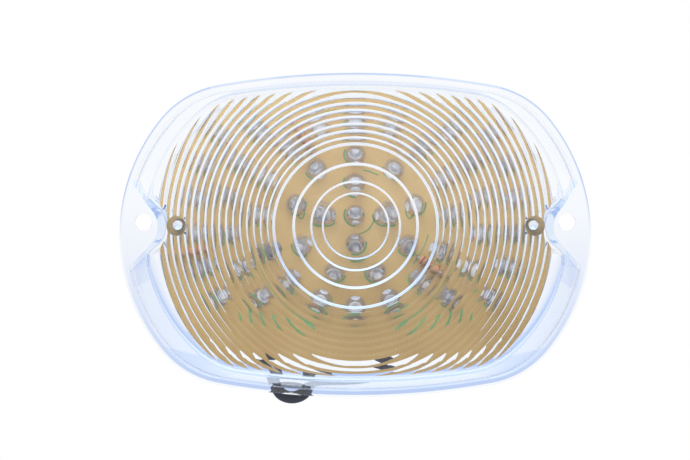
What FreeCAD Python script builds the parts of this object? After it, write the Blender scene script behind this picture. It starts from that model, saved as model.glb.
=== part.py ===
import FreeCAD, Part
import math
import os

"""Clear-lens LED brake light for a motorcycle, drawn lying on its back and turned upright.

While it is drawn, X is to the right, Y is up on the motorcycle and Z runs from the mounting
face (Z = 0) to the front of the lens. The origin is midway between the two screw holes.
"""

V = FreeCAD.Vector

# Clearances
seat_gap = 0.3
board_gap = 0.8

# Outline of the flange: half sizes, and the radii of its top, side and corner arcs
flange_half_w = 74.0
flange_half_h = 51.0
outline_drop = 4.1
top_r = 243.0
side_r = 58.0
corner_r = 30.0
flange_t = 3.0
flange_ledge = 2.0

# Front face of the lens, and its wall
front_half_w = 62.8
front_half_h = 44.6
front_drop = 1.9
front_top_r = 236.0
front_side_r = 48.0
front_corner_r = 22.0
lens_depth = 33.0
front_edge_r = 4.5
wall_t = 2.3
plate_t = 3.0

# Rings on the inner face: outer radius of each bullseye zone and the slope of its facet,
# then the even rings of the field, whose crests stand a step behind the bullseye's
zone_radii = (9.6, 13.0, 18.2, 24.2)
zone_slopes = (6.0, 18.0, 12.0, 10.0)
field_step = 0.9
ring_pitch = 2.07
ring_count = 17
ring_slope = 29.0
riser_draft = 31.0

# Screw holes, set in from the flange's edge, and the pockets above them
hole_edge = 7.5
hole_x = flange_half_w - hole_edge
hole_r = 2.7
pocket_nose_r = 5.5
pocket_flare = 50.0
drain_w = 4.0
drain_h = 1.0

# Board posts on the lens, clear of the pockets' walls
post_r = 3.0
post_wall_gap = 1.7
post_x = hole_x - pocket_nose_r - wall_t - post_wall_gap - post_r
pilot_r = 1.45
pilot_depth = 12.0

# Circuit board
board_front = 10.0
board_t = 1.6
board_half_w = hole_x - pocket_nose_r - wall_t - board_gap
board_half_h = 37.0
board_corner_r = 30.0
board_drop = 1.6
board_hole_r = 1.7

# LEDs: height of their common centre, and the radius, count or angle step of each ring
led_rise = 2.3
led_r = 2.5
led_h = 8.6
led_shoulder = 6.4
led_tip_r = 1.3
ring_b_r = 8.0
ring_c_r = 16.3
ring_d_r = 25.0
post_led_gap = 4.0
ring_f_r = post_x - post_r - post_led_gap - led_r
ring_e_r = (ring_d_r + ring_f_r) / 2
ring_b_count = 4
ring_c_count = 9
ring_d_count = 16
ring_e_step = 16.4
ring_f_step = 12.4
side_count = 6

# Resistors
resistor_r = 1.15
resistor_len = 6.3
resistor_lift = 0.3
lead_r = 0.3
lead_reach = 1.3
resistor_led_gap = 1.05
resistor_out = 1.5

# Board screws
screw_head_r = 2.75
screw_head_h = 2.0
screw_r = pilot_r - seat_gap
screw_len = 9.0

# Cable and what holds it
cable_d = 4.0
cable_r = cable_d / 2
anchor_w = 12.0
anchor_top = 14.6
anchor_bottom = 7.0
anchor_depth = 11.6
boot_len = 13.0
boot_r = 3.4
boot_end_r = 2.6
cable_x = 2.0
cable_z = 4.6

# Coil: middle radius of its two turns side by side
coil_r = 22.0
coil_turns = 2
coil_y = -1.7
coil_z = -1.2
stub_len = 15.5
tail_angle = 60.0

# Fold of the cable below the rim
fold_x = -20.0
fold_half = 5.0
fold_y = -54.0
fold_tip_y = -56.2
fold_z = -2.4

# Plug on the cable's end, and the tie round the coil
plug_x = 36.0
plug_top = -6.0
plug_w = 13.0
plug_len = 22.0
plug_d = 8.4
plug_wall = 1.5
plug_socket = 9.0
contact_r = 0.8
contact_len = 7.0
contact_step = 3.6
contact_count = 3
tie_angle = 118.0
tie_w = 3.6
tie_t = 1.1
tie_head = 3.0

os.makedirs("parts", exist_ok=True)


def upright(shape):
    """Turns a shape from lying on its back to its place on the motorcycle."""
    turned = shape.copy()
    turned.rotate(V(0, 0, 0), V(1, 0, 0), 90)
    return turned


def save(name, shape):
    """Checks a shape and writes it as one node."""
    placed = upright(shape)
    print(name, placed.isValid(), len(placed.Solids), round(placed.Volume, 1))
    placed.exportStep("parts/" + name + ".step")


def oval(half_w, half_h, r_top, r_side, r_corner, mid_y, z):
    """Closed wire of a rounded oval: side, corner, top or bottom arcs, each tangent to the next."""
    side_x = half_w - r_side
    top_y = half_h - r_top
    d_side = r_side - r_corner
    d_top = r_top - r_corner
    # the corner's centre lies d_side from the side arc's centre and d_top from the top arc's
    across = math.hypot(side_x, top_y)
    along = (d_side ** 2 - d_top ** 2 + across ** 2) / (2 * across)
    off = math.sqrt(d_side ** 2 - along ** 2)
    ux = -side_x / across
    uy = top_y / across
    cx = side_x + ux * along - uy * off
    cy = uy * along + ux * off
    if cy < 0:
        cx = side_x + ux * along + uy * off
        cy = uy * along - ux * off
    a_side = math.atan2(cy, cx - side_x)
    a_top = math.atan2(cy - top_y, cx)
    p_side = (side_x + r_side * math.cos(a_side), r_side * math.sin(a_side))
    p_top = (r_top * math.cos(a_top), top_y + r_top * math.sin(a_top))
    a_mid = (a_side + a_top) / 2
    p_mid = (cx + r_corner * math.cos(a_mid), cy + r_corner * math.sin(a_mid))

    def at(x, y):
        return V(x, y + mid_y, z)

    arcs = (
        (at(p_side[0], -p_side[1]), at(half_w, 0), at(*p_side)),
        (at(*p_side), at(*p_mid), at(*p_top)),
        (at(*p_top), at(0, half_h), at(-p_top[0], p_top[1])),
        (at(-p_top[0], p_top[1]), at(-p_mid[0], p_mid[1]), at(-p_side[0], p_side[1])),
        (at(-p_side[0], p_side[1]), at(-half_w, 0), at(-p_side[0], -p_side[1])),
        (at(-p_side[0], -p_side[1]), at(-p_mid[0], -p_mid[1]), at(-p_top[0], -p_top[1])),
        (at(-p_top[0], -p_top[1]), at(0, -half_h), at(p_top[0], -p_top[1])),
        (at(p_top[0], -p_top[1]), at(p_mid[0], -p_mid[1]), at(p_side[0], -p_side[1])),
    )
    return Part.Wire([Part.Arc(*arc).toShape() for arc in arcs])


def wall_oval(inset, z):
    """Oval of the drafted wall at a height, moved inwards by an inset."""
    s = (z - flange_t) / (lens_depth - flange_t)

    def mix(low, high):
        return low + (high - low) * s

    return oval(
        mix(flange_half_w - flange_ledge, front_half_w) - inset,
        mix(flange_half_h - flange_ledge, front_half_h) - inset,
        mix(top_r - flange_ledge, front_top_r) - inset,
        mix(side_r - flange_ledge, front_side_r) - inset,
        mix(corner_r - flange_ledge, front_corner_r) - inset,
        -mix(outline_drop, front_drop),
        z,
    )


def pocket(side, grow, z0, z1):
    """Prism of a screw pocket: a round nose with sides that flare outwards past the flange."""
    flare = math.radians(pocket_flare)
    r = pocket_nose_r + grow
    touch_x = hole_x - r * math.sin(flare)
    touch_y = r * math.cos(flare)
    far_x = flange_half_w + 15
    far_y = touch_y + (far_x - touch_x) * math.tan(flare)
    nose = Part.Arc(
        V(side * touch_x, touch_y, z0),
        V(side * (hole_x - r), 0, z0),
        V(side * touch_x, -touch_y, z0),
    ).toShape()
    low = Part.LineSegment(V(side * touch_x, -touch_y, z0), V(side * far_x, -far_y, z0)).toShape()
    back = Part.LineSegment(V(side * far_x, -far_y, z0), V(side * far_x, far_y, z0)).toShape()
    high = Part.LineSegment(V(side * far_x, far_y, z0), V(side * touch_x, touch_y, z0)).toShape()
    return Part.Face(Part.Wire([nose, low, back, high])).extrude(V(0, 0, z1 - z0))


def ring_profile(z_plane):
    """Saw-tooth from the axis outwards: each facet rises to its crest, each riser drops from it."""
    # the middle zone is a shallow dome that ends at its own slope
    dome_r = zone_radii[0]
    dome = dome_r * math.tan(math.radians(zone_slopes[0])) / 2
    points = [(0.0, z_plane - dome), (dome_r / 2, z_plane - dome * 0.75), (dome_r, z_plane)]
    teeth = []
    for inner, outer, slope in zip(zone_radii, zone_radii[1:], zone_slopes[1:]):
        teeth.append((inner, outer, slope, z_plane))
    for i in range(ring_count):
        inner = zone_radii[-1] + i * ring_pitch
        teeth.append((inner, inner + ring_pitch, ring_slope, z_plane - field_step))
    lean = math.tan(math.radians(riser_draft))
    for inner, outer, slope, crest in teeth:
        rise = math.tan(math.radians(slope))
        # the riser comes down from the crest before it, which may stand higher
        above = points[-1][1] - crest
        drop = (outer - inner - lean * above) * rise / (1 + lean * rise)
        points.append((inner + (drop + above) * lean, crest - drop))
        points.append((outer, crest))
    return points


def make_lens():
    """Clear lens: flange, drafted hollow body, ringed front, pockets, holes, posts and notch."""
    flange_oval = oval(flange_half_w, flange_half_h, top_r, side_r, corner_r, -outline_drop, 0)
    flange = Part.Face(flange_oval).extrude(V(0, 0, flange_t))
    body = Part.makeLoft([wall_oval(0, flange_t - 1), wall_oval(0, lens_depth)], True, True)
    rim = [e for e in body.Edges if abs(e.BoundBox.ZMin - lens_depth) < 1e-6]
    body = body.makeFillet(front_edge_r, rim)
    outer = flange.fuse(body)
    z_plane = lens_depth - plate_t
    profile = ring_profile(z_plane)
    reach = flange_half_w + 10
    corners = [(0, -2), (reach, -2), (reach, profile[-1][1])] + profile[::-1]
    loop = Part.makePolygon([V(r, 0, z) for r, z in corners] + [V(0, 0, -2)])
    room = Part.Face(loop).revolve(V(0, 0, 0), V(0, 0, 1), 360)
    inside = Part.makeLoft([wall_oval(wall_t, -1), wall_oval(wall_t, lens_depth)], True, True)
    room = room.common(inside)
    for side in (-1, 1):
        outer = outer.cut(pocket(side, 0, flange_t, lens_depth + 5))
        room = room.cut(pocket(side, wall_t, -5, lens_depth + 5))
    lens = outer.cut(room)
    for side in (-1, 1):
        hole = Part.makeCylinder(hole_r, flange_t + 2, V(side * hole_x, 0, -1))
        post = Part.makeCylinder(post_r, z_plane + 1 - board_front, V(side * post_x, 0, board_front))
        pilot = Part.makeCylinder(pilot_r, pilot_depth, V(side * post_x, 0, board_front))
        lens = lens.cut(hole).fuse(post).cut(pilot)
    bottom = -outline_drop - flange_half_h
    drain = Part.makeBox(drain_w, 1.6, drain_h, V(-drain_w / 2, bottom - 0.6, 0))
    return lens.cut(drain).removeSplitter()


def make_board():
    """Flat board with round corners and two screw holes."""
    w = board_half_w
    h = board_half_h
    base = board_front - board_t
    plate = Part.makeBox(2 * w, 2 * h, board_t, V(-w, -board_drop - h, base))
    upright_edges = [e for e in plate.Edges if e.BoundBox.ZLength > board_t / 2]
    plate = plate.makeFillet(board_corner_r, upright_edges)
    for side in (-1, 1):
        plate = plate.cut(Part.makeCylinder(board_hole_r, board_t + 2, V(side * post_x, 0, base - 1)))
    return plate


def led_at(radius, angle):
    """One LED on the board, its shoulder drawn in to a blunt tip."""
    a = math.radians(angle)
    foot = V(radius * math.cos(a), led_rise + radius * math.sin(a), board_front)
    stem = Part.makeCylinder(led_r, led_shoulder, foot)
    tip = Part.makeCone(led_r, led_tip_r, led_h - led_shoulder, foot + V(0, 0, led_shoulder))
    return stem.fuse(tip).removeSplitter()


def led_group(radius, angles):
    """LEDs at one radius, each a solid of its own."""
    return Part.makeCompound([led_at(radius, angle) for angle in angles])


def side_angles(middle, step):
    """Angles of a row of LEDs, evenly spaced about a middle angle."""
    return [middle + (i - (side_count - 1) / 2) * step for i in range(side_count)]


def resistor_places():
    """Distance from the LEDs' centre and angle about it, midway between LEDs, of each resistor."""
    step = 360 / ring_d_count
    inner = ring_c_r + led_r + resistor_led_gap + lead_r + lead_reach + resistor_len / 2
    return {
        "upper": (inner, 90 + 1.5 * step),
        "left": (ring_f_r + resistor_out, 180 + ring_f_step),
        "lower": (inner, 90 + 10.5 * step),
    }


def resistor_frame(place):
    """Middle of a resistor and the direction it lies in, straight out from the LEDs' centre."""
    radius, angle = place
    a = math.radians(angle)
    out = V(math.cos(a), math.sin(a), 0)
    middle = V(0, led_rise, board_front + resistor_lift + resistor_r) + out * radius
    return middle, out


def make_resistor(place):
    """Body of an axial resistor, lying on the board."""
    middle, out = resistor_frame(place)
    return Part.makeCylinder(resistor_r, resistor_len, middle - out * (resistor_len / 2), out)


def make_leads(place):
    """Two wire leads: out of the ends of the body and down to the board."""
    middle, out = resistor_frame(place)
    leads = []
    for way in (-1, 1):
        start = middle + out * (way * resistor_len / 2)
        bend = start + out * (way * lead_reach)
        foot = V(bend.x, bend.y, board_front)
        leads.append(tube([start, bend, foot], lead_r, "wire"))
    return Part.makeCompound(leads)


def make_screws():
    """Two pan-head screws, from behind the board into the posts."""
    screws = []
    back = board_front - board_t
    for side in (-1, 1):
        foot = V(side * post_x, 0, back - screw_head_h)
        head = Part.makeCylinder(screw_head_r, screw_head_h, foot)
        slot = Part.makeBox(2 * screw_head_r + 1, 0.8, 0.8, foot + V(-screw_head_r - 0.5, -0.4, 0))
        shank = Part.makeCylinder(screw_r, screw_head_h + board_t + screw_len, foot)
        screws.append(head.fuse(shank).cut(slot).removeSplitter())
    return Part.makeCompound(screws)


def make_anchor():
    """Block on the back of the board with a tapered boot that points down."""
    back = board_front - board_t
    size_y = anchor_top - anchor_bottom
    corner = V(cable_x - anchor_w / 2, anchor_bottom, back - anchor_depth)
    block = Part.makeBox(anchor_w, size_y, anchor_depth, corner)
    edges = [e for e in block.Edges if e.BoundBox.ZLength > size_y]
    block = block.makeFillet(1.5, edges)
    start = V(cable_x, anchor_bottom + 1, cable_z)
    boot = Part.makeCone(boot_r, boot_end_r, boot_len + 1, start, V(0, -1, 0))
    return block.fuse(boot).removeSplitter()


def tube(points, radius, name):
    """Round tube along straight runs joined by tangent arcs, as large as the runs allow."""
    edges = []
    radii = []
    last = points[0]
    for before, here, after in zip(points, points[1:], points[2:]):
        a = here - before
        b = after - here
        turn = a.getAngle(b)
        trim = 0.45 * min(a.Length, b.Length)
        radii.append(round(trim / math.tan(turn / 2), 1))
        u = V(a).normalize()
        w = V(b).normalize()
        start = here - u * trim
        end = here + w * trim
        inward = V(w - u).normalize()
        middle = here + inward * (radii_gap(trim, turn))
        edges.append(Part.LineSegment(last, start).toShape())
        edges.append(Part.Arc(start, middle, end).toShape())
        last = end
    edges.append(Part.LineSegment(last, points[-1]).toShape())
    path = Part.Wire(edges)
    circle = Part.Wire(Part.makeCircle(radius, points[0], points[1] - points[0]))
    solid = path.makePipeShell([circle], True, False)
    expected = math.pi * radius ** 2 * path.Length
    print(name, "radii", radii, "length", round(path.Length, 1), "fill", round(solid.Volume / expected, 3))
    return solid


def radii_gap(trim, turn):
    """Distance from a corner of the route to the middle of its arc."""
    return trim / math.tan(turn / 2) * (1 / math.cos(turn / 2) - 1)


def lead_route():
    """Points of the cable from the boot, under the rim in a tight fold, and up to the coil."""
    boot_y = anchor_bottom - boot_len
    entry_x = -coil_r - cable_r
    left = fold_x - fold_half
    right = fold_x + fold_half
    return [
        V(cable_x, boot_y, cable_z),
        V(cable_x, boot_y - 11, cable_z),
        V(8.5, -29, 4.2),
        V(9.5, -40, 1.8),
        V(2, -46, -1),
        V(right + 0.5, -46.6, fold_z),
        V(right, fold_y, fold_z),
        V(fold_x, fold_tip_y, fold_z),
        V(left, fold_y, fold_z),
        V(left - 0.6, -44.5, -2.2),
        V(left - 0.2, -34, -1.7),
        V(entry_x, -25, coil_z),
        V(entry_x, coil_y - stub_len, coil_z),
    ]


def tail_route():
    """Points of the cable from the coil's top round and down to the plug."""
    a = math.radians(tail_angle)
    r = coil_r + cable_r
    out = V(math.sin(a), -math.cos(a), 0)
    start = V(r * math.cos(a), coil_y + r * math.sin(a), coil_z) + out * stub_len
    return [start, start + out * 8, V(plug_x, 0.8, coil_z), V(plug_x, plug_top, coil_z)]


def make_coil():
    """Outer shape of the wound turns, with the two straight ends that leave it."""
    half = coil_turns * cable_r
    centre = V(0, coil_y, coil_z - cable_r)
    ring = Part.makeCylinder(coil_r + half, cable_d, centre)
    ring = ring.cut(Part.makeCylinder(coil_r - half, cable_d, centre))
    entry = V(-coil_r - cable_r, coil_y, coil_z)
    ring = ring.fuse(Part.makeCylinder(cable_r, stub_len, entry, V(0, -1, 0)))
    a = math.radians(tail_angle)
    r = coil_r + cable_r
    leave = V(r * math.cos(a), coil_y + r * math.sin(a), coil_z)
    ring = ring.fuse(Part.makeCylinder(cable_r, stub_len, leave, V(math.sin(a), -math.cos(a), 0)))
    return ring.removeSplitter()


def make_tie():
    """Square band round both turns of the coil, with a small head on its outer side."""
    half_r = coil_turns * cable_r + seat_gap
    half_z = cable_r + seat_gap
    t = tie_t
    band = Part.makeBox(2 * (half_r + t), tie_w, 2 * (half_z + t), V(-half_r - t, -tie_w / 2, -half_z - t))
    hole = Part.makeBox(2 * half_r, tie_w + 2, 2 * half_z, V(-half_r, -tie_w / 2 - 1, -half_z))
    head = Part.makeBox(tie_head, tie_w + 1.2, tie_head + 1, V(half_r, -tie_w / 2 - 0.6, -half_z / 2))
    tie = band.cut(hole).fuse(head).removeSplitter()
    tie.translate(V(coil_r, 0, 0))
    tie.rotate(V(0, 0, 0), V(0, 0, 1), tie_angle)
    tie.translate(V(0, coil_y, coil_z))
    return tie


def make_plug():
    """Connector housing with an open socket at its lower end."""
    low = plug_top - plug_len
    shell = Part.makeBox(plug_w, plug_len, plug_d, V(plug_x - plug_w / 2, low, coil_z - plug_d / 2))
    edges = [e for e in shell.Edges if e.BoundBox.YLength > plug_len / 2]
    shell = shell.makeFillet(1.2, edges)
    inner_w = plug_w - 2 * plug_wall
    inner_d = plug_d - 2 * plug_wall
    corner = V(plug_x - inner_w / 2, low - 1, coil_z - inner_d / 2)
    return shell.cut(Part.makeBox(inner_w, plug_socket + 1, inner_d, corner))


def make_contacts():
    """Round contacts standing in the plug's socket."""
    floor = plug_top - plug_len + plug_socket
    pins = []
    for i in range(contact_count):
        x = plug_x + (i - (contact_count - 1) / 2) * contact_step
        pins.append(Part.makeCylinder(contact_r, contact_len, V(x, floor, coil_z), V(0, -1, 0)))
    return Part.makeCompound(pins)


def around(count):
    """Angles of a full ring of LEDs that starts at the top."""
    return [90 + i * 360 / count for i in range(count)]


def main():
    """Builds every piece and writes it."""
    save("lens", make_lens())
    save("circuit_board", make_board())
    save("led_centre", led_group(0, [90]))
    save("leds_ring_b", led_group(ring_b_r, around(ring_b_count)))
    save("leds_ring_c", led_group(ring_c_r, around(ring_c_count)))
    save("leds_ring_d", led_group(ring_d_r, around(ring_d_count)))
    for side, middle in (("left", 180), ("right", 0)):
        save("leds_ring_e_" + side, led_group(ring_e_r, side_angles(middle, ring_e_step)))
        save("leds_ring_f_" + side, led_group(ring_f_r, side_angles(middle, ring_f_step)))
    for name, place in resistor_places().items():
        save("resistor_" + name, make_resistor(place))
        save("resistor_" + name + "_leads", make_leads(place))
    save("board_screws", make_screws())
    save("cable_anchor", make_anchor())
    save("cable_lead", tube(lead_route(), cable_r, "lead"))
    save("cable_coil", make_coil())
    save("cable_tail", tube(tail_route(), cable_r, "tail"))
    save("cable_tie", make_tie())
    save("plug_housing", make_plug())
    save("plug_contacts", make_contacts())


main()
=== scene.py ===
"""Looks of the clear-lens LED brake light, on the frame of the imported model."""
import logging
import math
from dataclasses import astuple, dataclass, field
from enum import Enum
from typing import Any, Iterable, Sequence, Union

import bpy
import numpy as np
from mathutils import Matrix, Vector


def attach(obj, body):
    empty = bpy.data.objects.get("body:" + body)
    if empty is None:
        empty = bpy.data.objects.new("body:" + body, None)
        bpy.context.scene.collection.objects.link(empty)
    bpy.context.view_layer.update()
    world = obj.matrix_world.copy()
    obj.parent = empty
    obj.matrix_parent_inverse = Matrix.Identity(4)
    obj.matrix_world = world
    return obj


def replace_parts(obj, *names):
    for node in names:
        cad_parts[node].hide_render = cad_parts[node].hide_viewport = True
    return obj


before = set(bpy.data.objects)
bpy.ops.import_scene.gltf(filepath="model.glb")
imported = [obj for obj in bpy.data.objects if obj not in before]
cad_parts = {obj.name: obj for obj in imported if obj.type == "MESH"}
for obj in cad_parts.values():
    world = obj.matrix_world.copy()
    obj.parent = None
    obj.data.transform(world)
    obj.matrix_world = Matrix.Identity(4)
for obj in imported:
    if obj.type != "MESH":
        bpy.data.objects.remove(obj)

LOG = logging.getLogger("brake_light")
MM = 0.001
Pair = tuple[float, float]
Colour = tuple[float, float, float]
Point = tuple[float, float, float]
Faces = list[list[int]]
Form = tuple[np.ndarray, Faces]
Piece = bpy.types.Object
Shader = bpy.types.Node
Value = Union["Sock", int, float]
Tone = Union["Sock", Colour]

WHITE: Colour = (1.0, 1.0, 1.0)
# A face whose normal has this much along the lens's axis is level
LEVEL = 0.999999
# Light passes many faces of the ringed lens before it reaches the board
LENS_BOUNCES = 64
GLOSSY_BOUNCES = 32


def upright(points: np.ndarray) -> np.ndarray:
    """Turns points drawn in mm with Y up and Z to the front of the lens to the row frame, in metres."""
    points = np.asarray(points, dtype=float)
    return np.stack([points[..., 0], -points[..., 2], points[..., 1]], axis=-1) * MM


class Op(Enum):
    """How two closed meshes are combined."""

    JOIN = "UNION"
    CUT = "DIFFERENCE"
    KEEP = "INTERSECT"


class Sock:
    """A shader socket whose operators add Math nodes."""

    def __init__(self, maker: "Nodes", socket: bpy.types.NodeSocket) -> None:
        """Keeps the node maker and the output socket."""
        self.maker = maker
        self.socket = socket

    def _math(self, kind: str, *values: Value) -> "Sock":
        """Adds one Math node on sockets or numbers."""
        return self.maker.make("ShaderNodeMath", {"operation": kind}, dict(enumerate(values)))

    def __add__(self, other: Value) -> "Sock":
        """Sum."""
        return self._math("ADD", self, other)

    __radd__ = __add__

    def __sub__(self, other: Value) -> "Sock":
        """Difference."""
        return self._math("SUBTRACT", self, other)

    def __rsub__(self, other: float) -> "Sock":
        """Difference from a number."""
        return self._math("SUBTRACT", other, self)

    def __mul__(self, other: Value) -> "Sock":
        """Product."""
        return self._math("MULTIPLY", self, other)

    __rmul__ = __mul__

    def sine(self) -> "Sock":
        """Sine of this value."""
        return self._math("SINE", self)

    def absolute(self) -> "Sock":
        """Distance of this value from zero."""
        return self._math("ABSOLUTE", self)

    def step(self, low: float, high: float) -> "Sock":
        """Smooth step from 0 at low to 1 at high."""
        sockets = {"Value": self, "From Min": low, "From Max": high}
        return self.maker.make("ShaderNodeMapRange", {"interpolation_type": "SMOOTHSTEP"}, sockets)


def opaque(colour: Tone) -> Any:
    """A socket as it is, or a colour with full alpha."""
    return colour if isinstance(colour, Sock) else (*colour, 1.0)


class Nodes:
    """Adds nodes to one node tree."""

    def __init__(self, tree: bpy.types.NodeTree) -> None:
        """Clears the tree and keeps it.

        Args:
            tree: node tree of a material or the world.
        """
        self.tree = tree
        self.volume: Union[Shader, None] = None
        tree.nodes.clear()

    def add(self, kind: str, settings: dict[str, Any], inputs: dict[Any, Any]) -> Shader:
        """Adds a node, its settings first and then its inputs.

        Args:
            kind: node type.
            settings: attributes of the node.
            inputs: sockets or values by input name or index.

        Returns:
            The node.
        """
        node = self.tree.nodes.new(kind)
        for name, value in settings.items():
            setattr(node, name, value)
        for name, value in inputs.items():
            socket = node.inputs[name]
            if isinstance(value, Sock):
                self.tree.links.new(value.socket, socket)
            else:
                socket.default_value = value
        return node

    def make(self, kind: str, settings: dict[str, Any], inputs: dict[Any, Any], out: Any = 0) -> Sock:
        """Adds a node and returns one of its outputs."""
        return Sock(self, self.add(kind, settings, inputs).outputs[out])

    def place(self) -> Sock:
        """Object coordinates."""
        return self.make("ShaderNodeTexCoord", {}, {}, "Object")

    def light_path(self, kind: str) -> Sock:
        """1 for rays of one kind, such as Is Camera Ray, and 0 for others."""
        return self.make("ShaderNodeLightPath", {}, {}, kind)

    def split(self, vector: Sock) -> list[Sock]:
        """The three parts of a vector."""
        node = self.add("ShaderNodeSeparateXYZ", {}, {0: vector})
        return [Sock(self, node.outputs[i]) for i in range(3)]

    def noise(self, where: Sock, scale: float, detail: float = 3.0) -> Sock:
        """Fractal noise from 0 to 1."""
        return self.make("ShaderNodeTexNoise", {}, {"Vector": where, "Scale": scale, "Detail": detail})

    def mix(self, factor: Value, a: Tone, b: Tone) -> Sock:
        """Mix of two colours."""
        sockets = {0: factor, 6: opaque(a), 7: opaque(b)}
        return self.make("ShaderNodeMix", {"data_type": "RGBA"}, sockets, 2)

    def bump(self, height: Sock, strength: float, distance: float) -> Sock:
        """Normal from a height."""
        sockets = {"Height": height, "Strength": strength, "Distance": distance}
        return self.make("ShaderNodeBump", {}, sockets)

    def blend(self, factor: Sock, a: Shader, b: Shader) -> Shader:
        """Mix of two shaders."""
        sockets = {0: factor, 1: Sock(self, a.outputs[0]), 2: Sock(self, b.outputs[0])}
        return self.add("ShaderNodeMixShader", {}, sockets)

    def finish(self, shader: Shader, kind: str = "ShaderNodeOutputMaterial") -> None:
        """Links a shader, and the volume where there is one, to the tree's output.

        Args:
            shader: the last shader.
            kind: type of the output node.
        """
        out = self.tree.nodes.new(kind)
        self.tree.links.new(shader.outputs[0], out.inputs[0])
        if self.volume:
            self.tree.links.new(self.volume.outputs[0], out.inputs["Volume"])


class Finish:
    """A named material that is made once."""

    name: str

    def build(self, n: Nodes) -> Shader:
        """Adds the nodes and returns the shader."""
        raise NotImplementedError

    def material(self) -> bpy.types.Material:
        """Makes the material at its first use.

        Returns:
            The material of this name.
        """
        found = bpy.data.materials.get(self.name)
        if found:
            return found
        made = bpy.data.materials.new(self.name)
        made.use_nodes = True
        n = Nodes(made.node_tree)
        n.finish(self.build(n))
        return made


@dataclass(frozen=True)
class ClearPlastic(Finish):
    """Clear moulded plastic with faint flow waviness; haze is the share that scatters."""

    name: str = "clear_plastic"
    tint: Colour = (0.945, 0.962, 0.988)
    pale: Colour = (0.965, 0.977, 0.994)
    tint_band: Pair = (0.3, 0.7)
    depth: Colour = (0.70, 0.82, 0.97)
    density: float = 22.0
    ior: float = 1.49
    rough: float = 0.0
    wave: float = 0.02
    wave_scale: float = 60.0
    wave_height: float = 0.001
    haze: float = 0.0
    pass_light: float = 0.9

    def build(self, n: Nodes) -> Shader:
        """Transmission with a very low bump from slow noise; lamp light passes straight through.

        Args:
            n: node maker.

        Returns:
            The shader.
        """
        slow = n.noise(n.place(), self.wave_scale, 1.0)
        sockets = {
            "Base Color": n.mix(slow.step(*self.tint_band), self.tint, self.pale),
            "Roughness": self.rough, "IOR": self.ior, "Transmission Weight": 1.0 - self.haze,
            "Normal": n.bump(slow, self.wave, self.wave_height),
        }
        clear = n.add("ShaderNodeBsdfPrincipled", {}, sockets)
        passed = opaque((self.pass_light,) * 3)
        passing = n.add("ShaderNodeBsdfTransparent", {}, {"Color": passed})
        if self.density:
            sockets = {"Color": opaque(self.depth), "Density": self.density}
            n.volume = n.add("ShaderNodeVolumeAbsorption", {}, sockets)
        return n.blend(n.light_path("Is Shadow Ray"), clear, passing)


@dataclass(frozen=True)
class Speckled(Finish):
    """Opaque finish whose colour and roughness drift over the surface between two ends."""

    name: str
    low: Colour
    high: Colour
    scale: float
    rough: Pair
    metal: float = 0.0
    bump: float = 0.08
    bump_height: float = 0.0003
    slower: float = 12.0
    band: Pair = (0.35, 0.65)

    def build(self, n: Nodes) -> Shader:
        """The mean of fine and slow noise drives colour and roughness; the fine one, a bump.

        Args:
            n: node maker.

        Returns:
            The shader.
        """
        where = n.place()
        fine = n.noise(where, self.scale, 4.0)
        slow = n.noise(where, self.scale / self.slower, 2.0)
        blend = (fine * 0.5 + slow * 0.5).step(*self.band)
        smooth_end, rough_end = self.rough
        sockets = {
            "Base Color": n.mix(blend, self.low, self.high),
            "Roughness": smooth_end + blend * (rough_end - smooth_end),
            "Metallic": self.metal, "Normal": n.bump(fine, self.bump, self.bump_height),
        }
        return n.add("ShaderNodeBsdfPrincipled", {}, sockets)


@dataclass(frozen=True)
class BoardFinish(Finish):
    """Tan glass-fibre board: a fine weave under a satin face, with painted shade that makes it deeper in tone
    towards its lower edge.
    """

    name: str = "tan_board"
    pale: Colour = (0.74, 0.505, 0.215)
    deep: Colour = (0.63, 0.41, 0.155)
    # Painted shade: darker tans that stand in for less light falling on the lower part of the board
    painted_shade_pale: Colour = (0.57, 0.36, 0.12)
    painted_shade_deep: Colour = (0.48, 0.29, 0.085)
    painted_shade_band: Pair = (-0.034, 0.004)
    weave: float = 5200.0
    weave_share: float = 0.08
    weave_bump: float = 0.05
    weave_height: float = 0.0002
    drift: float = 45.0
    drift_share: float = 0.7
    grain: float = 1800.0
    grain_share: float = 0.2
    band: Pair = (0.3, 0.65)
    rough: float = 0.42
    rough_more: float = 0.2

    def build(self, n: Nodes) -> Shader:
        """Two crossed sine waves, multiplied, are the weave; noise drifts the colour, and painted shade
        darkens it as height falls.

        Args:
            n: node maker.

        Returns:
            The shader.
        """
        where = n.place()
        x, _, z = n.split(where)
        cloth = (x * self.weave).sine() * (z * self.weave).sine()
        slow = n.noise(where, self.drift)
        fine = n.noise(where, self.grain)
        blend = slow * self.drift_share + fine * self.grain_share + cloth * self.weave_share
        blend = blend.step(*self.band)
        # Painted shade: the darker lower colours take over from the board's own tan as height falls through
        # the band
        lower = n.mix(blend, self.painted_shade_deep, self.painted_shade_pale)
        upper = n.mix(blend, self.deep, self.pale)
        sockets = {
            "Base Color": n.mix(z.step(*self.painted_shade_band), lower, upper),
            "Roughness": self.rough + fine * self.rough_more,
            "Normal": n.bump(cloth, self.weave_bump, self.weave_height),
        }
        return n.add("ShaderNodeBsdfPrincipled", {}, sockets)


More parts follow.
